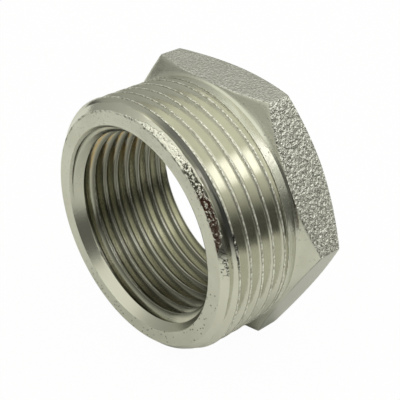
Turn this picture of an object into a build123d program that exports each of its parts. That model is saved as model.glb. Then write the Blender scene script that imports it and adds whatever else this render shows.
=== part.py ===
from build123d import *
import os
from math import ceil, cos, radians, tan

# Hex reducing bushing: one forged and turned brass piece. A male thread and a hex head stand on one
# axis, and the smaller bore of the female thread runs right through. Lengths are in millimetres and
# angles in degrees. While it is built, the axis is Z, the head is above z = 0 but for the low part
# of its coned front, and the male end points down. The finished piece is laid on a hex flat, with
# its head towards +Y.

# Male thread, size 1 1/4, parallel and right-hand. Crests and roots are one sixth of the pitch wide.
male_major_diameter = 41.910
male_length = 15.6
male_end_face_diameter = 38.7
male_end_chamfer_angle = 45.0
male_pitch = 2.309
male_flank_angle = 55.0
male_first_crest = 2.45  # from the end face, where the helix passes +X

# Turned collar between the thread and the head, with a full ring of crest height beside the thread
collar_diameter = 41.4
collar_start = 2.95  # below z = 0
collar_ring_width = 0.25
collar_root_chamfer = 0.25

# Hex head. Both its ends are turned to cones, so each flat is longest along its middle.
hex_across_flats = 42.0
hex_thickness = 6.6  # above z = 0
hex_front_depth = 1.1  # below z = 0, beside the collar
hex_front_cone_angle = 25.0
hex_face_diameter = 41.2
hex_chamfer_angle = 30.0

# Bore at the crests of the size 1 female thread, and the countersinks at its two ends
bore_diameter = 30.291
male_end_countersink_diameter = 33.8
male_end_countersink_angle = 70.0
hex_end_countersink_diameter = 38.8
hex_end_countersink_angle = 110.0

parts_folder = "parts"
past = 1.0  # how far a cutter reaches past the skin that it cuts


def turned(points):
    """A solid of revolution about Z from the corners of its half section, given as (radius, z)."""
    outline = Polyline(*[(radius, 0, z) for radius, z in points], close=True)
    return revolve(make_face(outline), axis=Axis.Z)


def plain_sleeve():
    """The sleeve before threading: a cylinder at crest size with a chamfered end."""
    end_radius = male_end_face_diameter / 2
    crest_radius = male_major_diameter / 2
    chamfer_rise = (crest_radius - end_radius) / tan(radians(male_end_chamfer_angle))
    top = -collar_start - collar_ring_width
    return turned(
        [
            (0, -male_length),
            (end_radius, -male_length),
            (crest_radius, -male_length + chamfer_rise),
            (crest_radius, top),
            (0, top),
        ]
    )


def groove_turn():
    """One turn of the male groove, swept along a helix that starts at z = 0 over +X."""
    flat = male_pitch / 6
    flare = tan(radians(male_flank_angle / 2))
    depth = (male_pitch / 2 - flat) / flare
    root_radius = male_major_diameter / 2 - depth
    half_root = flat / 2
    half_mouth = male_pitch / 2 - flat / 4  # the neighbouring turns of the cutter must not meet
    mouth_radius = root_radius + (half_mouth - half_root) / flare
    path = Helix(pitch=male_pitch, height=male_pitch, radius=root_radius)
    section = Polyline(
        (root_radius, 0, -half_root),
        (root_radius, 0, half_root),
        (mouth_radius, 0, half_mouth),
        (mouth_radius, 0, -half_mouth),
        close=True,
    )
    return sweep(make_face(section), path=path, is_frenet=True)


def threaded_sleeve():
    """The sleeve with its groove cut turn by turn, from below the end face to past the top."""
    first_groove = male_first_crest - male_pitch / 2
    threaded_length = male_length - collar_start - collar_ring_width
    last_turn = ceil((threaded_length - first_groove) / male_pitch + 0.5)
    cutter = groove_turn()
    sleeve = plain_sleeve()
    for turn in range(-1, last_turn):
        sleeve -= Pos(0, 0, -male_length + first_groove + turn * male_pitch) * cutter
    return sleeve


def collar():
    """The ring that closes the thread groove, and the collar from there to the head."""
    crest_radius = male_major_diameter / 2
    collar_radius = collar_diameter / 2
    ring_start = -collar_start - collar_ring_width
    return turned(
        [
            (0, ring_start),
            (crest_radius, ring_start),
            (crest_radius, -collar_start),
            (collar_radius, -collar_start),
            (collar_radius, -hex_front_depth - collar_root_chamfer),
            (collar_radius + collar_root_chamfer, -hex_front_depth),
            (collar_radius, hex_thickness / 2),
            (0, hex_thickness / 2),
        ]
    )


def hex_head():
    """A hexagonal prism with a coned front, turned down to a round face at its outer end."""
    corner_radius = hex_across_flats / 2 / cos(radians(30))
    outer_radius = corner_radius + past
    front_radius = collar_diameter / 2 + collar_root_chamfer
    face_radius = hex_face_diameter / 2
    front_rise = (outer_radius - front_radius) * tan(radians(hex_front_cone_angle))
    chamfer_reach = (outer_radius - face_radius) * tan(radians(hex_chamfer_angle))
    hexagon = RegularPolygon(radius=hex_across_flats / 2, side_count=6, major_radius=False)
    prism = Pos(0, 0, -hex_front_depth) * extrude(hexagon, amount=hex_front_depth + hex_thickness)
    envelope = turned(
        [
            (0, -hex_front_depth),
            (front_radius, -hex_front_depth),
            (outer_radius, -hex_front_depth + front_rise),
            (outer_radius, hex_thickness - chamfer_reach),
            (face_radius, hex_thickness),
            (0, hex_thickness),
        ]
    )
    return prism & envelope


def bore():
    """The cutter for the through bore, with a countersink at each end."""
    bore_radius = bore_diameter / 2
    male_mouth = male_end_countersink_diameter / 2
    hex_mouth = hex_end_countersink_diameter / 2
    male_rise = (male_mouth - bore_radius) / tan(radians(male_end_countersink_angle / 2))
    hex_rise = (hex_mouth - bore_radius) / tan(radians(hex_end_countersink_angle / 2))
    return turned(
        [
            (0, -male_length - past),
            (male_mouth, -male_length - past),
            (male_mouth, -male_length),
            (bore_radius, -male_length + male_rise),
            (bore_radius, hex_thickness - hex_rise),
            (hex_mouth, hex_thickness),
            (hex_mouth, hex_thickness + past),
            (0, hex_thickness + past),
        ]
    )


upright = threaded_sleeve() + collar() + hex_head() - bore()
bushing_body = Rot(-90, 0, 0) * upright

os.makedirs(parts_folder, exist_ok=True)
export_step(bushing_body, os.path.join(parts_folder, "bushing_body.step"))
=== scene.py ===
from math import ceil, cos, pi, radians, sin, tan

import bmesh
import bpy
from mathutils import Matrix, Vector


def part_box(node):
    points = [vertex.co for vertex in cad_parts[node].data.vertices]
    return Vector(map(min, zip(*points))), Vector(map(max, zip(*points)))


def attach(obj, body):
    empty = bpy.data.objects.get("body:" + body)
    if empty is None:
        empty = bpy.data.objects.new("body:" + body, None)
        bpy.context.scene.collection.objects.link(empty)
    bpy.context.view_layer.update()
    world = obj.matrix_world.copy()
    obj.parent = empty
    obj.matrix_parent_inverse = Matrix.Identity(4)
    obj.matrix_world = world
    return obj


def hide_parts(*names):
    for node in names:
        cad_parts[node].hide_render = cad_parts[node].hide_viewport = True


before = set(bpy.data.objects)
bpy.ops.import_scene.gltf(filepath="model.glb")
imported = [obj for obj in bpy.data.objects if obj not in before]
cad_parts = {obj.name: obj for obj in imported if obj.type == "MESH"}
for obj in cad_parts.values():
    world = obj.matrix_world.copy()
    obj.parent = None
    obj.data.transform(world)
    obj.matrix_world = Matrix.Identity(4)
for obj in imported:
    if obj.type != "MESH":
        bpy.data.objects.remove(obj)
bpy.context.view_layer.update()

# ---------------------------------------------------------------------------------------------
# Male thread. The brass sleeve is threaded with a 55 degree form, right-hand, 11 to the inch. Its
# groove starts behind a narrow ridge at the chamfered end and runs out against a full ring. The
# die tore the crests and chipped the lead-in, and the whole piece was then nickel plated.

# Sizes are in millimetres. Heights run along the axis from the frame's origin, and turns run
# round it from +X towards +Z, from -0.5 to 0.5.
MM = 0.001
box_low, box_high = [[round(side / MM, 3) for side in corner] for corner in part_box("bushing_body")]

pitch = 2.309
thread_depth = 1.4785
thread_angle = 55
male_end = box_low[1]
male_crest_radius = 20.955
male_face_radius = 19.35
male_first_crest = male_end + 2.45
male_groove_start = male_end + 0.65
collar_start = -2.95
male_thread_end = collar_start - 0.25
male_flank_width = 1 / 3  # in pitches
shoulder_slope = 1 / tan(radians(thread_angle / 2))
no_cone = 1000.0  # the end cone lies out of reach

steps_round = 270
crest_half_width = 0.05  # in pitches, as are the places of the rows from a crest to the next root
half_places = (0.0, 0.040, 0.062, 0.14, 0.22, 0.30, 0.375, 0.40, 0.455, 0.5)
row_places = [*half_places, *[1 - share for share in reversed(half_places[:-1])]]
rows_per_pitch = len(row_places) - 1
row_nudge = 1e-4  # keeps a row on a whole number from falling back to the pitch before


class Wire:
    """A value that runs between nodes, so that sums in a node tree read as plain sums."""

    def __init__(self, socket):
        self.socket = socket
        self.tree = socket.id_data

    def __add__(self, other):
        return calc("ADD", self, other)

    def __sub__(self, other):
        return calc("SUBTRACT", self, other)

    def __rsub__(self, other):
        return calc("SUBTRACT", other, self)

    def __mul__(self, other):
        return calc("MULTIPLY", self, other)

    def __truediv__(self, other):
        return calc("DIVIDE", self, other)

    def feed(self, socket):
        self.tree.links.new(self.socket, socket)


def add_node(tree, kind, inputs=None, **settings):
    """A node with its settings, and with a wire, a number or a colour on each input given."""
    made = tree.nodes.new(kind)
    for name, value in settings.items():
        setattr(made, name, value)
    for name, value in (inputs or {}).items():
        socket = made.inputs[name]
        if isinstance(value, Wire):
            value.feed(socket)
        elif socket.type == "RGBA":
            socket.default_value = (*value, 1)
        else:
            socket.default_value = value
    return made


def calc(operation, *values):
    """A Math node on wires and plain numbers."""
    tree = next(value.tree for value in values if isinstance(value, Wire))
    made = add_node(tree, "ShaderNodeMath", dict(enumerate(values)), operation=operation)
    return Wire(made.outputs[0])


def wires(sockets):
    """The outputs of a node by name."""
    return {socket.name: Wire(socket) for socket in sockets}


thread_inputs = {}
thread_tree = bpy.data.node_groups.new("cut_thread", "GeometryNodeTree")
for label, kind in (
    ("Crest Radius", "Float"),
    ("Root Radius", "Float"),
    ("Pitch", "Float"),
    ("Flank Width", "Float"),
    ("First Crest", "Float"),
    ("Start", "Float"),
    ("End", "Float"),
    ("Groove Start", "Float"),
    ("Groove End", "Float"),
    ("Shoulder Slope", "Float"),
    ("Start Cone Radius", "Float"),
    ("Start Cone Slope", "Float"),
    ("End Cone Radius", "Float"),
    ("End Cone Slope", "Float"),
    ("Side", "Float"),
    ("Steps Round", "Int"),
    ("Rows", "Int"),
    ("Metal", "Material"),
):
    socket = thread_tree.interface.new_socket(label, in_out="INPUT", socket_type="NodeSocket" + kind)
    thread_inputs[label] = socket.identifier
thread_tree.interface.new_socket("Geometry", in_out="OUTPUT", socket_type="NodeSocketGeometry")

# A flat grid is rolled into the band: across it runs part of a turn, 0 to 1, and up it the rows
given = wires(add_node(thread_tree, "NodeGroupInput").outputs)
grid = add_node(
    thread_tree,
    "GeometryNodeMeshGrid",
    {
        "Size X": 1.0,
        "Size Y": 1.0,
        "Vertices X": given["Steps Round"] + 1,
        "Vertices Y": given["Rows"] + 1,
    },
)
position = Wire(add_node(thread_tree, "GeometryNodeInputPosition").outputs[0])
flat = wires(add_node(thread_tree, "ShaderNodeSeparateXYZ", {0: position}).outputs)
part = flat["X"] + 0.5
row_in_pitches = (flat["Y"] + 0.5) * given["Rows"] / rows_per_pitch + row_nudge

# Rows crowd together at the edges of the crest and of the root, and follow the helix
spread = add_node(thread_tree, "ShaderNodeFloatCurve", {"Value": calc("FRACT", row_in_pitches)})
points = spread.mapping.curves[0].points
while len(points) < len(row_places):
    points.new(0.5, 0.5)
for order, (point, place_in_pitch) in enumerate(zip(points, row_places)):
    point.location = (order / rows_per_pitch, place_in_pitch)
    point.handle_type = "VECTOR"
spread.mapping.update()
along = calc("FLOOR", row_in_pitches) + Wire(spread.outputs[0])
pitches_below = calc("CEIL", (given["First Crest"] - given["Start"]) / given["Pitch"])
helix = (along - pitches_below - part) * given["Pitch"] + given["First Crest"]
height = calc("MINIMUM", calc("MAXIMUM", helix, given["Start"]), given["End"])

# The cut form: 0 at the root, 1 at the crest, and straight flanks between them
phase = (height - given["First Crest"]) / given["Pitch"] + part
crest_off = calc("PINGPONG", phase, 0.5)
flank = (given["Flank Width"] + crest_half_width - crest_off) / given["Flank Width"]
form = calc("MINIMUM", calc("MAXIMUM", flank, 0), 1)
cut = form * (given["Crest Radius"] - given["Root Radius"]) + given["Root Radius"]

# The groove begins behind one shoulder and runs out against another, both sloped like a flank
last_shoulder = (height - given["Groove End"]) * given["Shoulder Slope"] + given["Crest Radius"]
first_shoulder = (given["Groove Start"] - height) * given["Shoulder Slope"] + given["Crest Radius"]
radius = calc("MAXIMUM", calc("MAXIMUM", cut, last_shoulder), first_shoulder)

# Cones at the two ends: Side 1 keeps the band inside them (male), and -1 outside them (female)
start_cone = (height - given["Start"]) * given["Start Cone Slope"] + given["Start Cone Radius"]
end_cone = (given["End"] - height) * given["End Cone Slope"] + given["End Cone Radius"]
held = calc("MINIMUM", radius * given["Side"], start_cone * given["Side"])
held = calc("MINIMUM", held, end_cone * given["Side"]) * given["Side"]

angle = part * (2 * pi)
rolled = add_node(
    thread_tree,
    "ShaderNodeCombineXYZ",
    {"X": calc("COSINE", angle) * held, "Y": height, "Z": calc("SINE", angle) * held},
)
shaped = add_node(
    thread_tree,
    "GeometryNodeSetPosition",
    {"Geometry": Wire(grid.outputs["Mesh"]), "Position": Wire(rolled.outputs[0])},
)
real = add_node(thread_tree, "GeometryNodeRealizeInstances", {0: Wire(shaped.outputs[0])})
coated = add_node(
    thread_tree,
    "GeometryNodeSetMaterial",
    {"Geometry": Wire(real.outputs[0]), "Material": given["Metal"]},
)
add_node(thread_tree, "NodeGroupOutput", {0: Wire(coated.outputs[0])})


def lay_thread(name, metal, **sizes):
    """The mesh of one threaded band. Its rows are worked out from its ends and first crest."""
    first, start, end = sizes["First_Crest"], sizes["Start"], sizes["End"]
    pitches = ceil((first - start) / (pitch * MM)) + ceil((end - first) / (pitch * MM)) + 1
    sizes.update(Pitch=pitch * MM, Steps_Round=steps_round, Rows=pitches * rows_per_pitch, Metal=metal)
    carrier = bpy.data.objects.new(name, bpy.data.meshes.new(name))
    bpy.context.scene.collection.objects.link(carrier)
    lathe = carrier.modifiers.new("cut_thread", "NODES")
    lathe.node_group = thread_tree
    for label, size in sizes.items():
        lathe[thread_inputs[label.replace("_", " ")]] = size
    bpy.context.view_layer.update()
    cut_band = carrier.evaluated_get(bpy.context.evaluated_depsgraph_get())
    mesh = bpy.data.meshes.new_from_object(cut_band)
    bpy.data.objects.remove(carrier)
    return mesh


def smooth_step(value, low, high):
    """0 below low, 1 above high, and an S-curve between them."""
    limits = {"Value": value, "From Min": low, "From Max": high}
    made = add_node(value.tree, "ShaderNodeMapRange", limits, interpolation_type="SMOOTHSTEP")
    return Wire(made.outputs["Result"])


def band(value, low, high, blur):
    """1 between low and high, and fading to 0 over blur outside them."""
    return smooth_step(value, low - blur, low) - smooth_step(value, high, high + blur)


def noise(place, scale, detail, rough):
    """Cloudy noise of that many waves per metre."""
    sizes = {"Vector": place, "Scale": scale, "Detail": detail, "Roughness": rough}
    return Wire(add_node(place.tree, "ShaderNodeTexNoise", sizes).outputs["Fac"])


def mix_colour(share, first, second):
    """The first colour where the share is 0, and the second where it is 1."""
    made = add_node(share.tree, "ShaderNodeMix", {0: share, 6: first, 7: second}, data_type="RGBA")
    return Wire(made.outputs[2])


def object_place(tree):
    """A point's place on the piece, in metres."""
    return Wire(add_node(tree, "ShaderNodeTexCoord").outputs["Object"])


def effect(name, inputs, outputs):
    """An empty group of shader nodes. Returns it with its inputs as wires, and its outputs."""
    group = bpy.data.node_groups.new(name, "ShaderNodeTree")
    for label, value in inputs.items():
        socket = group.interface.new_socket(label, in_out="INPUT", socket_type="NodeSocketFloat")
        socket.default_value = value
    for label in outputs:
        group.interface.new_socket(label, in_out="OUTPUT", socket_type="NodeSocketFloat")
    given = wires(add_node(group, "NodeGroupInput").outputs)
    return group, given, add_node(group, "NodeGroupOutput").inputs


def use_effect(tree, group, **values):
    """The outputs of an effect placed in a tree with its own values."""
    values = {label.replace("_", " "): value for label, value in values.items()}
    return wires(add_node(tree, "ShaderNodeGroup", values, node_tree=group).outputs)


# Where a point is on the lathe: distance from the axis, height along it, and turns round it
lathe_place, given, results = effect("lathe_place", {}, ("Radius", "Height", "Turn"))
corner = wires(add_node(lathe_place, "ShaderNodeSeparateXYZ", {0: object_place(lathe_place)}).outputs)
calc("SQRT", corner["Z"] * corner["Z"] + corner["X"] * corner["X"]).feed(results["Radius"])
corner["Y"].feed(results["Height"])
(calc("ARCTAN2", corner["Z"], corner["X"]) / (2 * pi)).feed(results["Turn"])

# Fine rings left by the turning tool, on faces by radius and on cylinders by height
tool_marks, given, results = effect("tool_marks", {"Lines per Metre": 4000}, ("Relief",))
spot = use_effect(tool_marks, lathe_place)
lines = add_node(
    tool_marks,
    "ShaderNodeTexNoise",
    {
        "W": spot["Radius"] + spot["Height"],
        "Scale": given["Lines per Metre"],
        "Detail": 3,
        "Roughness": 0.7,
    },
    noise_dimensions="1D",
)
Wire(lines.outputs["Fac"]).feed(results["Relief"])

# Small pits in the plating: a share of the cells has a round hole in its middle
pits, given, results = effect("pits", {"Cells per Metre": 900, "Share": 0.1}, ("Pit",))
cells = add_node(
    pits,
    "ShaderNodeTexVoronoi",
    {"Vector": object_place(pits), "Scale": given["Cells per Metre"]},
)
lot = add_node(pits, "ShaderNodeSeparateColor", {0: Wire(cells.outputs["Color"])})
drawn = calc("LESS_THAN", Wire(lot.outputs[0]), given["Share"])
hole = 1 - smooth_step(Wire(cells.outputs["Distance"]), 0.10, 0.22)
(hole * drawn).feed(results["Pit"])

# Cloudy tarnish of the plating, large and small
tarnish, given, results = effect("tarnish", {"Clouds per Metre": 120}, ("Cloud", "Grain"))
place = object_place(tarnish)
smooth_step(noise(place, given["Clouds per Metre"], 3, 0.6), 0.35, 0.7).feed(results["Cloud"])
noise(place, 1500, 2, 0.7).feed(results["Grain"])


def metal_finish(name):
    """A bare metal. Returns it with its node tree and the inputs of its surface."""
    metal = bpy.data.materials.new(name)
    metal.use_nodes = True
    skin = metal.node_tree.nodes["Principled BSDF"].inputs
    skin["Metallic"].default_value = 1.0
    return metal, metal.node_tree, skin


def relief(skin, height, depth):
    """Bumps of that depth in millimetres, from a height of 0 to 1."""
    sizes = {"Strength": 1.0, "Distance": depth * MM, "Height": height}
    bump = add_node(height.tree, "ShaderNodeBump", sizes)
    Wire(bump.outputs[0]).feed(skin["Normal"])


nickel = (0.70, 0.695, 0.62)
dull_nickel = (0.58, 0.575, 0.50)
torn_dark = (0.42, 0.41, 0.36)
torn_bright = (1.0, 0.995, 0.94)
chip_bright = (0.95, 0.94, 0.86)
pit_brown = (0.075, 0.07, 0.055)
rust_and_crease_shade_brown = (0.085, 0.036, 0.024)
oil_black = (0.13, 0.13, 0.14)
nick_black = (0.03, 0.03, 0.03)

thread_nickel, tree, skin = metal_finish("thread_nickel")
place = object_place(tree)
spot = use_effect(tree, lathe_place)
turn = spot["Turn"]
height = spot["Height"]
cloud = use_effect(tree, tarnish, Clouds_per_Metre=150)["Cloud"]
marks = use_effect(tree, tool_marks, Lines_per_Metre=5000)["Relief"]
pit = use_effect(tree, pits, Cells_per_Metre=1700, Share=0.35)["Pit"]
burr = noise(place, 2600, 2, 0.7)
grit = noise(place, 2000, 2.5, 0.75)

# Torn crests, with pits that crowd on the lower front of the first ones
torn = smooth_step(spot["Radius"], (male_crest_radius - 0.16) * MM, (male_crest_radius - 0.04) * MM)
torn = torn * smooth_step(height, (male_end + 0.7) * MM, (male_end + 1.2) * MM)
front_crests = 1 - smooth_step(height, (male_end + 3.0) * MM, (male_end + 3.7) * MM)
lower_front = band(turn, -0.15, 0.02, 0.04) * front_crests
pit = pit * torn * (lower_front * 0.8 + 0.2)

# A chipped strip along the outer edge of the end face, on one side. It is bright metal specked
# with brown, with the most specks at one place and rust below that.
strip_width = smooth_step(turn, 0.03, 0.065) - smooth_step(turn, 0.17, 0.30)
strip_edge = noise(place, 900, 3, 0.7) * (0.7 * MM) + (male_end - 0.55) * MM
chipped = smooth_step(strip_edge + strip_width * (1.05 * MM) - height, 0, 0.12 * MM)
specked_side = band(turn, 0.10, 0.135, 0.025)
rusty_side = band(turn, 0.04, 0.105, 0.02) * (1 - smooth_step(grit, 0.53, 0.62))
bare = mix_colour(smooth_step(grit - specked_side * 0.12, 0.36, 0.46), pit_brown, chip_bright)
bare = mix_colour(rusty_side * 0.92, bare, rust_and_crease_shade_brown)

# Burnt oil in the first groove, and nicks along the crest and the edge beside it
past_crest = turn * (pitch * MM) + height - male_first_crest * MM
burnt = band(past_crest, -0.70 * MM, -0.20 * MM, 0.12 * MM) * band(turn, 0.07, 0.19, 0.05)
crest_nicks = band(past_crest, -0.18 * MM, 0.12 * MM, 0.05 * MM) * band(turn, 0.025, 0.06, 0.008)
crest_nicks = crest_nicks * smooth_step(noise(place, 2000, 3, 0.75), 0.47, 0.51)
edge_nicks = band(height, (male_end + 0.2) * MM, (male_end + 1.1) * MM, 0.1 * MM)
edge_nicks = edge_nicks * band(turn, 0.018, 0.045, 0.010)
edge_nicks = edge_nicks * band(noise(place, 1000, 2, 0.7), 0.475, 0.515, 0.012)

wear_and_shade = mix_colour(cloud * 0.4, nickel, dull_nickel)
wear_and_shade = mix_colour(torn * 0.9, wear_and_shade, mix_colour(smooth_step(burr, 0.42, 0.58), torn_dark, torn_bright))
wear_and_shade = mix_colour(chipped, wear_and_shade, bare)
wear_and_shade = mix_colour(burnt * 0.72, wear_and_shade, oil_black)
wear_and_shade = mix_colour(calc("MAXIMUM", crest_nicks, edge_nicks), wear_and_shade, nick_black)
mix_colour(pit * 0.9, wear_and_shade, pit_brown).feed(skin["Base Color"])
(cloud * 0.06 + torn * 0.22 + chipped * 0.15 + 0.09).feed(skin["Roughness"])
relief(skin, burr * (torn * 1.4 + 0.02) + marks * 0.05 + grit * chipped * 2.2 - pit, 0.10)

male_band = lay_thread(
    "male_band",
    thread_nickel,
    Crest_Radius=male_crest_radius * MM,
    Root_Radius=(male_crest_radius - thread_depth) * MM,
    Flank_Width=male_flank_width,
    First_Crest=male_first_crest * MM,
    Start=male_end * MM,
    End=male_thread_end * MM,
    Groove_Start=male_groove_start * MM,
    Groove_End=male_thread_end * MM,
    Shoulder_Slope=shoulder_slope,
    Start_Cone_Radius=male_face_radius * MM,
    Start_Cone_Slope=1.0,
    End_Cone_Radius=no_cone * MM,
    End_Cone_Slope=0.0,
    Side=1.0,
)

# ---------------------------------------------------------------------------------------------
# Bore. The smaller female thread is tapped right through, from one countersink to the other. Inside
# it is painted darker as painted shade, darkest beside the crests and in the roots, and the grooves
# high on one side are stained gold.
bore_radius = 15.1455
hex_end = box_high[1]
bore_first_crest = male_end + 2.7
bore_flank_width = 0.40  # in pitches
male_mouth_radius = 16.9
male_mouth_slope = tan(radians(35))
hex_mouth_radius = 19.4
hex_mouth_slope = tan(radians(55))
past_the_ends = 1000.0  # the groove is cut right through, with no shoulder in it

# Painted shade inside the bore: dark beside the crests, on the crests and in the roots, lighter mid-flank
crest_side_painted_shade = (0.17, 0.168, 0.14)
flank_grey = (0.64, 0.635, 0.535)
root_painted_shade = (0.24, 0.237, 0.20)
bore_tarnish = (0.25, 0.245, 0.20)
crest_painted_shade = (0.34, 0.335, 0.295)
mouth_nickel = (0.60, 0.595, 0.525)
gold_stain = (0.62, 0.42, 0.16)

bore_nickel, tree, skin = metal_finish("bore_nickel")
place = object_place(tree)
spot = use_effect(tree, lathe_place)
radius = spot["Radius"]
height = spot["Height"]
cloud = use_effect(tree, tarnish, Clouds_per_Metre=110)["Cloud"]
marks = use_effect(tree, tool_marks, Lines_per_Metre=4500)["Relief"]
crested = 1 - smooth_step(radius, 15.16 * MM, 15.22 * MM)
deep = smooth_step(radius, 15.25 * MM, 15.95 * MM)
grooved = smooth_step(radius, 15.5 * MM, 15.9 * MM)
root = smooth_step(radius, 16.30 * MM, 16.58 * MM)
off_mouth = (height - male_end * MM) * male_mouth_slope + radius - male_mouth_radius * MM
countersunk = 1 - smooth_step(off_mouth, 0.03 * MM, 0.10 * MM)
golden = band(radius, 15.75 * MM, 16.05 * MM, 0.12 * MM) * band(spot["Turn"], 0.27, 0.45, 0.05)
golden = golden * band(height, -12.0 * MM, -2.0 * MM, 1.0 * MM)
golden = golden * smooth_step(noise(place, 500, 3, 0.7), 0.36, 0.5)

# The tone across each thread is painted shade: dark beside the crests and in the roots, lighter
# mid-flank, and darker on the crests
wear_and_shade = mix_colour(deep, crest_side_painted_shade, flank_grey)
wear_and_shade = mix_colour(root, wear_and_shade, root_painted_shade)
wear_and_shade = mix_colour(cloud * 0.25, wear_and_shade, bore_tarnish)
wear_and_shade = mix_colour(crested, wear_and_shade, crest_painted_shade)
wear_and_shade = mix_colour(countersunk, wear_and_shade, mouth_nickel)
mix_colour(golden * 0.7, wear_and_shade, gold_stain).feed(skin["Base Color"])
(cloud * 0.05 + countersunk * 0.10 + grooved * 0.03 + 0.14).feed(skin["Roughness"])
relief(skin, noise(place, 3200, 2, 0.7) * (crested * 0.9 + 0.1) + marks * 0.2, 0.06)

female_band = lay_thread(
    "female_band",
    bore_nickel,
    Crest_Radius=bore_radius * MM,
    Root_Radius=(bore_radius + thread_depth) * MM,
    Flank_Width=bore_flank_width,
    First_Crest=bore_first_crest * MM,
    Start=male_end * MM,
    End=hex_end * MM,
    Groove_Start=-past_the_ends * MM,
    Groove_End=past_the_ends * MM,
    Shoulder_Slope=shoulder_slope,
    Start_Cone_Radius=male_mouth_radius * MM,
    Start_Cone_Slope=-male_mouth_slope,
    End_Cone_Radius=hex_mouth_radius * MM,
    End_Cone_Slope=-hex_mouth_slope,
    Side=-1.0,
)

# ---------------------------------------------------------------------------------------------
# Turned faces: the end face, the full ring and collar behind the thread, and the cones and flat
# ring of the head. All were faced on the lathe and carry its rings. The end face is pitted and has
# a burred rim, and a thin line of painted shade lies in the crease between collar and head.
collar_radius = 20.7
collar_middle = -2.2
head_front = -1.1
head_front_radius = 20.98
head_face_radius = 20.6
half_across = box_high[2]
corner_round = 0.04
corner_angle = radians(0.9)
front_slope = tan(radians(25))
front_inset = 0.15
front_inset_from = 20.95  # the cone has no room for the inset in the middle of a flat
chamfer_slope = tan(radians(30))
chamfer_inset = 0.08
cone_rings = 4

turned_bright = (0.68, 0.68, 0.605)

turned_nickel, tree, skin = metal_finish("turned_nickel")
place = object_place(tree)
spot = use_effect(tree, lathe_place)
turn = spot["Turn"]
height = spot["Height"]
clouds = use_effect(tree, tarnish, Clouds_per_Metre=130)
marks = use_effect(tree, tool_marks, Lines_per_Metre=3500)["Relief"]
pit = use_effect(tree, pits, Cells_per_Metre=1400, Share=0.9)["Pit"]
end_face = 1 - smooth_step(height, (male_end + 0.1) * MM, (male_end + 0.3) * MM)
rim = smooth_step(spot["Radius"], (male_face_radius - 0.45) * MM, (male_face_radius - 0.05) * MM)
burred = rim * end_face * band(turn, 0.08, 0.42, 0.05)
burred = burred * smooth_step(noise(place, 1700, 3, 0.75), 0.52, 0.60)
knocked_side = band(turn, -0.33, -0.06, 0.08)
nick = calc("MAXIMUM", pit * (end_face * knocked_side * 1.1 + 0.35), burred)
# A thin brown line of painted shade in the crease between collar and head, on one side
crease_shade_line = band(height, (head_front - 0.02) * MM, (head_front + 0.08) * MM, 0.05 * MM)
crease_shade_line = crease_shade_line * band(turn, 0.035, 0.09, 0.015)
crease_shade_line = crease_shade_line * smooth_step(noise(place, 700, 3, 0.7), 0.42, 0.55)

wear_and_shade = mix_colour(clouds["Cloud"] * 0.5, turned_bright, dull_nickel)
wear_and_shade = mix_colour(crease_shade_line * 0.7, wear_and_shade, rust_and_crease_shade_brown)
mix_colour(nick * 0.85, wear_and_shade, pit_brown).feed(skin["Base Color"])
(clouds["Cloud"] * 0.08 + 0.19).feed(skin["Roughness"])
relief(skin, marks * 0.45 + clouds["Grain"] * 0.6 - nick, 0.035)


def circle(radius, height):
    """A round ring. Every ring gives its radius and height at an angle round the axis."""
    return lambda angle: (radius, height)


def hex_radius(angle):
    """Distance from the axis to the hex outline, with slightly rounded corners."""
    off = (angle + pi / 6) % (pi / 3) - pi / 6
    reach = half_across / cos(pi / 6 - abs(off))
    return reach - corner_round * max(0, 1 - abs(off) / corner_angle)


def front_edge_height(angle):
    """Height at which the coned front meets the flats."""
    return head_front + (hex_radius(angle) - head_front_radius) * front_slope


def chamfer_edge_height(angle):
    """Height at which the cone of the hex end meets the flats."""
    return hex_end - (hex_radius(angle) - head_face_radius) * chamfer_slope


def front_ring(share):
    """A ring on the coned front: share 0 is beside the collar, and 1 just inside the flats."""

    def place_at(angle):
        reach = hex_radius(angle)
        outer = reach - front_inset * min(1, reach - front_inset_from)
        radius = head_front_radius + (outer - head_front_radius) * share
        return radius, head_front + (radius - head_front_radius) * front_slope

    return place_at


def chamfer_ring(share):
    """A ring on the cone of the hex end: share 0 is just inside the flats, and 1 at the face."""

    def place_at(angle):
        outer = hex_radius(angle) - chamfer_inset
        edge_height = chamfer_edge_height(angle)
        radius = outer + (head_face_radius - outer) * share
        return radius, edge_height + (hex_end - edge_height) * share

    return place_at


collar_rings = [
    circle(male_crest_radius, male_thread_end),
    circle(male_crest_radius, collar_start - 0.05),
    circle(male_crest_radius - 0.035, collar_start),
    circle(collar_radius + 0.04, collar_start),
    circle(collar_radius, collar_start + 0.05),
    circle(collar_radius, collar_middle),
    circle(collar_radius, head_front - 0.32),
    circle(collar_radius + 0.23, head_front - 0.06),
    circle(head_front_radius, head_front),
]
front_rings = [front_ring(step / cone_rings) for step in range(1, cone_rings + 1)]
chamfer_rings = [chamfer_ring(step / cone_rings) for step in range(1, cone_rings + 1)]
hex_face_rings = [circle(head_face_radius - 0.6, hex_end), circle(hex_mouth_radius, hex_end)]
end_face_rings = [circle(radius, male_end) for radius in (male_face_radius, 18.9, 18.2, 17.5, 17.1)]
# a scratch of a groove runs round the mouth of the bore
mouth_rings = [
    circle(male_mouth_radius + 0.10, male_end),
    circle(male_mouth_radius + 0.06, male_end + 0.05),
    circle(male_mouth_radius, male_end),
]

# ---------------------------------------------------------------------------------------------
# Flats of the hex head. Under the plating they keep the pebbled skin of the forging die. The top
# one is finer than the rest, and one lower side is drawn smooth and painted darker as painted shade.
# The creases of the pebbles and the low parts of the grain are painted darker as painted shade, and
# the tops of the grain lighter as painted highlight.
flat_rows = 16
flat_front_gap = 0.06
flat_chamfer_gap = 0.10
flat_edge_round = 0.02

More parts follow.
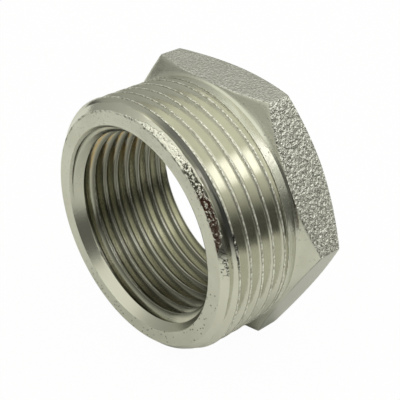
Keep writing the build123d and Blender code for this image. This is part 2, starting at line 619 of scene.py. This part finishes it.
# Painted shade in the pebble creases and the low grain, painted highlight on the grain tops, and painted
# shade on the lower side flat
crease_painted_shade = (0.46, 0.46, 0.42)
pebble_bright = (0.73, 0.73, 0.68)
grain_low_painted_shade = (0.62, 0.62, 0.575)
grain_top_painted_highlight = (0.86, 0.86, 0.82)
forged_tarnish = (0.55, 0.55, 0.50)
lower_flat_painted_shade = (0.44, 0.44, 0.39)


def facing(direction, azimuth, elevation):
    """How far a direction or a place reaches along a fixed direction, given in degrees."""
    a, e = radians(azimuth), radians(elevation)
    fixed = (cos(a) * cos(e), sin(a) * cos(e), sin(e))
    sizes = {0: direction, 1: fixed}
    made = add_node(direction.tree, "ShaderNodeVectorMath", sizes, operation="DOT_PRODUCT")
    return Wire(made.outputs["Value"])


def flat_side(place, elevation):
    """1 on the flat that faces that way, seen along the axis, and 0 on the others."""
    return smooth_step(facing(place, 0, elevation), (half_across - 0.10) * MM, (half_across - 0.02) * MM)


forged_nickel, tree, skin = metal_finish("forged_nickel")
place = object_place(tree)
cloud = use_effect(tree, tarnish, Clouds_per_Metre=200)["Cloud"]
smooth_shaded_side = flat_side(place, -30)
fine_side = flat_side(place, 90)
pebbles = noise(place, 1800, 2, 0.6)
grain = noise(place, 2800, 2, 0.6)
pebble_height = calc("MAXIMUM", 1 - smooth_shaded_side, 0.05) - fine_side * 0.65
grain_height = fine_side * 0.55 + 0.03

# The creases and the low grain are painted darker as painted shade, and the grain tops lighter as painted
# highlight, following the same noise as the bumps
pebbles_with_shade = mix_colour(smooth_step(pebbles, 0.38, 0.55), crease_painted_shade, pebble_bright)
grain_light_and_shade = mix_colour(smooth_step(grain, 0.40, 0.62), grain_low_painted_shade, grain_top_painted_highlight)
wear_and_shade = mix_colour(fine_side, pebbles_with_shade, grain_light_and_shade)
wear_and_shade = mix_colour(cloud * 0.25, wear_and_shade, forged_tarnish)
# The lower side flat is painted darker as painted shade
mix_colour(smooth_shaded_side, wear_and_shade, lower_flat_painted_shade).feed(skin["Base Color"])
skin["Roughness"].default_value = 0.2
relief(skin, grain * grain_height + pebbles * pebble_height, 0.26)


def flat_ring(share):
    """A ring round the flats, from the coned front at share 0 to the hex end's cone at 1."""

    def place_at(angle):
        low_edge = front_edge_height(angle) + flat_front_gap
        high_edge = chamfer_edge_height(angle) - flat_chamfer_gap
        inset = 0.0 if 0 < share < 1 else flat_edge_round
        return hex_radius(angle) - inset, low_edge + (high_edge - low_edge) * share

    return place_at


flat_rings = [flat_ring(row / flat_rows) for row in range(flat_rows + 1)]

# ---------------------------------------------------------------------------------------------
# The bushing. It is one piece of brass, so both threaded bands and all the rings are sewn into one
# closed skin, with four finishes on it.
finishes = [thread_nickel, bore_nickel, turned_nickel, forged_nickel]
weld_gap = 0.004
sliver = 0.001
sharp_angle = radians(28)

outer_rings = [(ring, turned_nickel) for ring in collar_rings + front_rings]
outer_rings += [(ring, forged_nickel) for ring in flat_rings]
outer_rings += [(ring, turned_nickel) for ring in chamfer_rings + hex_face_rings]
inner_rings = [(ring, turned_nickel) for ring in end_face_rings + mouth_rings]


def add_band(build, mesh, finish):
    """Adds a threaded band, with its finish."""
    count = len(build.faces)
    build.from_mesh(mesh)
    build.faces.ensure_lookup_table()
    for face in build.faces[count:]:
        face.material_index = finishes.index(finish)


def add_rings(build, rings):
    """Adds a strip of faces from each ring to the next, with the finish of the further one."""
    before = None
    for ring, finish in rings:
        row = []
        for step in range(steps_round):
            angle = 2 * pi * step / steps_round
            radius, height = ring(angle)
            row.append(build.verts.new((radius * cos(angle) * MM, height * MM, radius * sin(angle) * MM)))
        if before:
            for step in range(steps_round):
                ahead = (step + 1) % steps_round
                face = build.faces.new((before[step], before[ahead], row[ahead], row[step]))
                face.material_index = finishes.index(finish)
        before = row


build = bmesh.new()
add_band(build, male_band, thread_nickel)
add_band(build, female_band, bore_nickel)
add_rings(build, outer_rings)
add_rings(build, inner_rings)
bmesh.ops.remove_doubles(build, verts=build.verts, dist=weld_gap * MM)
bmesh.ops.dissolve_degenerate(build, dist=sliver * MM, edges=build.edges)
bmesh.ops.recalc_face_normals(build, faces=build.faces)

bushing_mesh = bpy.data.meshes.new("bushing")
build.to_mesh(bushing_mesh)
build.free()
for metal in finishes:
    bushing_mesh.materials.append(metal)
bushing_mesh.shade_smooth()
bushing_mesh.set_sharp_from_angle(angle=sharp_angle)
bushing = bpy.data.objects.new("bushing", bushing_mesh)
bpy.context.scene.collection.objects.link(bushing)
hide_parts("bushing_body")
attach(bushing, "root")

# ---------------------------------------------------------------------------------------------
# Table. The bushing lies on one hex flat on a sheet of white paper. To the eye the sheet fades to
# white, and to the metal it ends at a dark edge past the male end and past one side.
paper_white = (0.88, 0.88, 0.88)
past_paper_grey = (0.12, 0.12, 0.12)
table_reach = 3.0
table_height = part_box("bushing_body")[0][2]
paper_edges = (  # azimuth in degrees, distance from the axis and half blur in metres
    (-7, 0.10, 0.004),
    (-90, 0.085, 0.02),
)
white_to_the_eye = 0.97  # the rest shows the bushing's shadow

table_white = bpy.data.materials.new("table_white")
table_white.use_nodes = True
tree = table_white.node_tree
tree.nodes.clear()
place = object_place(tree)
past_edges = [
    smooth_step(facing(place, azimuth, 0), distance - blur, distance + blur)
    for azimuth, distance, blur in paper_edges
]
sheet = mix_colour(calc("MAXIMUM", *past_edges), paper_white, past_paper_grey)
paper = add_node(tree, "ShaderNodeBsdfDiffuse", {"Color": sheet})
glow = add_node(tree, "ShaderNodeEmission", {"Strength": 1.0})
rays = wires(add_node(tree, "ShaderNodeLightPath").outputs)
blend = add_node(
    tree,
    "ShaderNodeMixShader",
    {
        0: rays["Is Camera Ray"] * white_to_the_eye,
        1: Wire(paper.outputs[0]),
        2: Wire(glow.outputs[0]),
    },
)
add_node(tree, "ShaderNodeOutputMaterial", {"Surface": Wire(blend.outputs[0])})

table_mesh = bpy.data.meshes.new("table")
table_corners = [(-table_reach, -table_reach), (table_reach, -table_reach)]
table_corners += [(table_reach, table_reach), (-table_reach, table_reach)]
table_mesh.from_pydata([(x, y, table_height) for x, y in table_corners], [], [(0, 1, 2, 3)])
table_mesh.materials.append(table_white)
table = bpy.data.objects.new("table", table_mesh)
bpy.context.scene.collection.objects.link(table)

# ---------------------------------------------------------------------------------------------
# Room. The table stands in a white cloth tent with a brighter ceiling and one large lamp. The tent
# is open to a dark room on one side, and a dark stand is beside the opening.
ceiling_azimuth = -20
ceiling_elevation = 75
# brightness of the tent against the cosine of the angle from the middle of its ceiling
tent_levels = ((-0.3, 0.35), (0.08, 0.43), (0.3, 0.52), (0.457, 0.61), (0.54, 0.81), (0.66, 1.10))
tent_tint = (0.99, 1.0, 0.88)
dark_level = 0.11
opening_azimuth = -12
opening_sides = (0.42, 0.58)  # cosines to either side, where the opening starts and is full
opening_top = (0.10, 0.36)  # heights on the tent where the opening is full and ends
stand_azimuth = -45
stand_elevation = 12
stand_angles = (36, 18)
lamp_azimuth = 47
lamp_elevation = 41
lamp_angles = (13, 6)
lamp_level = 2.3
lamp_tint = (1.0, 0.99, 0.97)
backdrop_grey = (0.8, 0.8, 0.8)  # past the table's edge, which only a level view sees


def tinted(level, tint):
    """A tint at that brightness."""
    return tuple(level * tone for tone in tint)


def round_patch(direction, azimuth, elevation, angles):
    """A soft disc of the room: 0 past the first angle from its middle, and 1 within the second."""
    outer, inner = [cos(radians(angle)) for angle in angles]
    return smooth_step(facing(direction, azimuth, elevation), outer, inner)


room = bpy.data.worlds.new("studio_room")
room.use_nodes = True
walls = room.node_tree
walls.nodes.clear()
outward = Wire(add_node(walls, "ShaderNodeTexCoord").outputs["Generated"])
ceiling = facing(outward, ceiling_azimuth, ceiling_elevation)
levels = add_node(walls, "ShaderNodeValToRGB", {0: ceiling * 0.5 + 0.5})
stops = levels.color_ramp.elements
while len(stops) < len(tent_levels):
    stops.new(0.5)
for stop, (cosine, level) in zip(stops, tent_levels):
    stop.position = cosine * 0.5 + 0.5
    stop.color = (*tinted(level, tent_tint), 1)

apart = wires(add_node(walls, "ShaderNodeSeparateXYZ", {0: outward}).outputs)
level_part = calc("SQRT", apart["X"] * apart["X"] + apart["Y"] * apart["Y"])
opening = smooth_step(facing(outward, opening_azimuth, 0) / level_part, *opening_sides)
opening = opening * (1 - smooth_step(apart["Z"], *opening_top))
stand = round_patch(outward, stand_azimuth, stand_elevation, stand_angles)
lamp = round_patch(outward, lamp_azimuth, lamp_elevation, lamp_angles)
dark = calc("MAXIMUM", opening, stand)
lit = mix_colour(dark, Wire(levels.outputs[0]), tinted(dark_level, tent_tint))
lit = mix_colour(lamp, lit, tinted(lamp_level, lamp_tint))
tent_light = add_node(walls, "ShaderNodeBackground", {"Color": lit, "Strength": 1.0})
backdrop = add_node(walls, "ShaderNodeBackground", {"Color": backdrop_grey, "Strength": 1.0})
rays = wires(add_node(walls, "ShaderNodeLightPath").outputs)
choose = add_node(
    walls,
    "ShaderNodeMixShader",
    {
        0: rays["Is Camera Ray"],
        1: Wire(tent_light.outputs[0]),
        2: Wire(backdrop.outputs[0]),
    },
)
add_node(walls, "ShaderNodeOutputWorld", {"Surface": Wire(choose.outputs[0])})
bpy.context.scene.world = room

# ---------------------------------------------------------------------------------------------
# Camera. A long lens looks at the male end from above and from one side. It leans a little, and is
# shifted to bring the bushing to the middle of its view.
view_azimuth = radians(47.10)
view_elevation = radians(30.95)
view_roll = radians(0.75)
view_distance = 154.05
sensor_width = 36.0
lens_length = 84.86
lens_shift = (-0.0217, -0.00905)
nearest, furthest = 0.01, 10  # what the lens sees, in metres

back = Vector(
    (
        sin(view_azimuth) * cos(view_elevation),
        -cos(view_azimuth) * cos(view_elevation),
        sin(view_elevation),
    )
)
level_right = Vector((cos(view_azimuth), sin(view_azimuth), 0))
level_up = back.cross(level_right)
right = level_right * cos(view_roll) + level_up * sin(view_roll)
up = level_up * cos(view_roll) - level_right * sin(view_roll)

lens = bpy.data.cameras.new("studio_lens")
lens.sensor_width = sensor_width
lens.lens = lens_length
lens.shift_x, lens.shift_y = lens_shift
lens.clip_start = nearest
lens.clip_end = furthest
camera = bpy.data.objects.new("studio_camera", lens)
bpy.context.scene.collection.objects.link(camera)
turned = Matrix((right, up, back)).transposed().to_4x4()
camera.matrix_world = Matrix.Translation(back * (view_distance * MM)) @ turned
bpy.context.scene.camera = camera
bpy.context.scene.view_settings.view_transform = "Standard"
